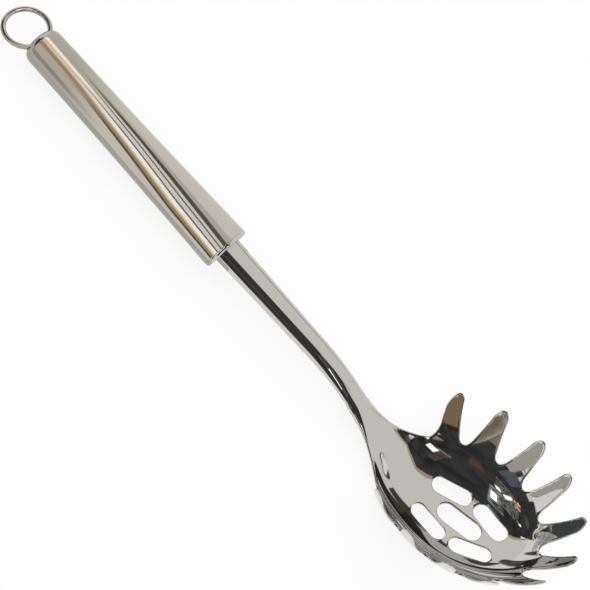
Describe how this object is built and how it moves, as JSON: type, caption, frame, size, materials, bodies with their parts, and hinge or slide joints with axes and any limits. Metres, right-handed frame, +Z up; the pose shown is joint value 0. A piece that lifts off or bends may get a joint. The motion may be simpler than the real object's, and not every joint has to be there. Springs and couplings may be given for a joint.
{
  "type": "pasta server",
  "caption": "Stainless steel pasta server: slotted oval bowl with upturned tines on a bent stem, hollow satin handle with a cap in front and a swinging hanging ring behind.",
  "frame": {"origin": "centre of the bounding box's bottom, on the table that the server lies on", "axes": "+X from the hanging ring to the front tine, +Y to the left, +Z up from the table"},
  "size_m": [0.3474, 0.0838, 0.0604],
  "materials": {
    "polished_steel": "mirror-polished stainless steel, not plated",
    "satin_steel": "satin stainless steel, finely brushed round the handle"
  },
  "bodies": {
    "server": {"handle_shell": "satin_steel", "front_cap": "polished_steel", "stem": "polished_steel", "bowl": "polished_steel"},
    "ring": {"hanging_ring": "polished_steel"}
  },
  "joints": [
    {"name": "ring_swing", "type": "hinge", "parent": "server", "child": "ring", "pos_m": [-0.15313, 0, 0.0092], "axis": [-0.0041, 0.9903, 0.1391], "range_deg": [-43, 67]}
  ]
}
